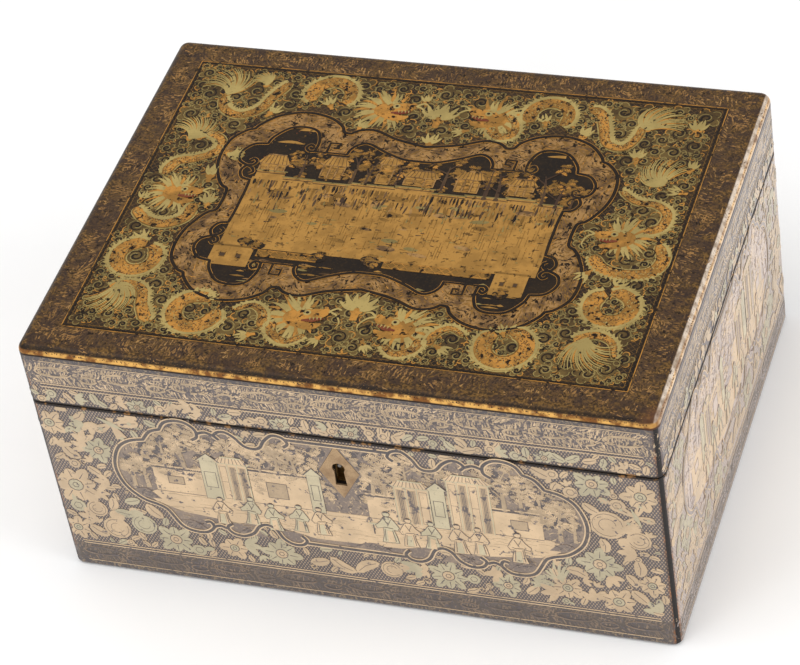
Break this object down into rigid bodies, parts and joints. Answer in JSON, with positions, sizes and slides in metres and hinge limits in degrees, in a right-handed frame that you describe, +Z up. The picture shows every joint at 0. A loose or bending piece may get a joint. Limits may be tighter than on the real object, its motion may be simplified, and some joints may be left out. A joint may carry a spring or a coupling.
{
  "type": "deed box",
  "caption": "Rectangular lacquered wooden box for papers, with a hinged rounded-edge lid on stopped butt hinges and a hooked box lock behind a lozenge escutcheon.",
  "frame": {"origin": "centre of the flat underside", "axes": "+X along the width, to the right seen from the front; +Y towards the hinged back; +Z up"},
  "size_m": [0.305, 0.234, 0.146],
  "materials": {
    "lacquer": "aged black-brown lacquer over softwood, satin",
    "inner_lacquer": "plain black lacquer, satin",
    "escutcheon_brass": "dull, rubbed",
    "brass": "old, brushed",
    "steel": "dull",
    "gilt": "gold powder on lacquer, satin",
    "gilt_green": "pale greenish gold powder on lacquer, satin"
  },
  "bodies": {
    "body": {"base_board": "inner_lacquer", "front_board": "lacquer", "back_board": "lacquer", "left_board": "lacquer", "right_board": "lacquer", "escutcheon": "escutcheon_brass", "lock_plate": "brass", "lock_case": "brass", "key_pin": "steel", "lock_spring": "steel", "lock_screws": "brass", "left_hinge_body_leaf": "brass", "right_hinge_body_leaf": "brass", "left_hinge_pin": "brass", "right_hinge_pin": "brass", "hinge_body_screws": "brass"},
    "lid": {"lid_top_board": "lacquer", "lid_front_rail": "lacquer", "lid_back_rail": "lacquer", "lid_left_rail": "lacquer", "lid_right_rail": "lacquer", "link_plate": "brass", "link_screws": "brass", "left_hinge_lid_leaf": "brass", "right_hinge_lid_leaf": "brass", "hinge_lid_screws": "brass"},
    "bolt": {"lock_bolt": "brass"}
  },
  "joints": [
    {"name": "lid_hinge", "type": "hinge", "parent": "body", "child": "lid", "pos_m": [0, 0.1159, 0.1105], "axis": [-1, 0, 0], "range_deg": [0, 100]},
    {"name": "bolt_slide", "type": "slide", "parent": "body", "child": "bolt", "axis": [1, 0, 0], "range_m": [0, 0.0045]}
  ]
}
